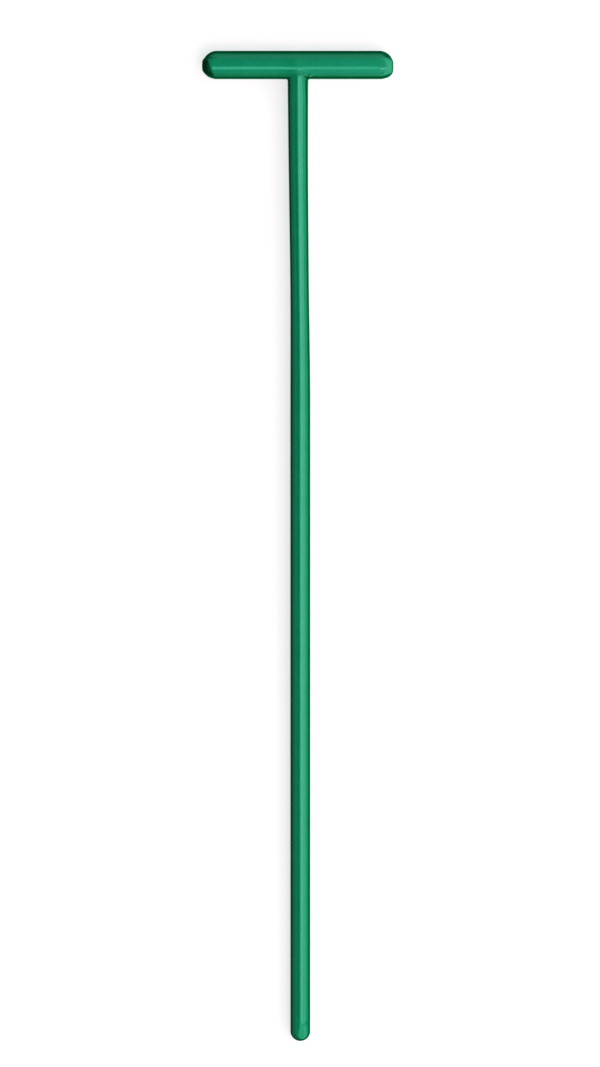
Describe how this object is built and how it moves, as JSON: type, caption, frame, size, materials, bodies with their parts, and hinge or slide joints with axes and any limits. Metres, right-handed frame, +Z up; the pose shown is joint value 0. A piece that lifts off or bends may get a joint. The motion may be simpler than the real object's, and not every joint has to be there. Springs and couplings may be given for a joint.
{
  "type": "cell spreader",
  "caption": "T-shaped one-piece plastic cell spreader: a round cross bar with domed ends on a long thin round shaft with a domed tip.",
  "frame": {"origin": "middle of the base of the bounding box, on the surface that the spreader lies on", "axes": "+Y from the shaft's tip towards the cross bar, +X along the cross bar, +Z up from the surface"},
  "size_m": [0.029, 0.154, 0.0043],
  "materials": {
    "green_plastic": "gloss"
  },
  "bodies": {
    "root": {"cell_spreader": "green_plastic"}
  },
  "joints": []
}
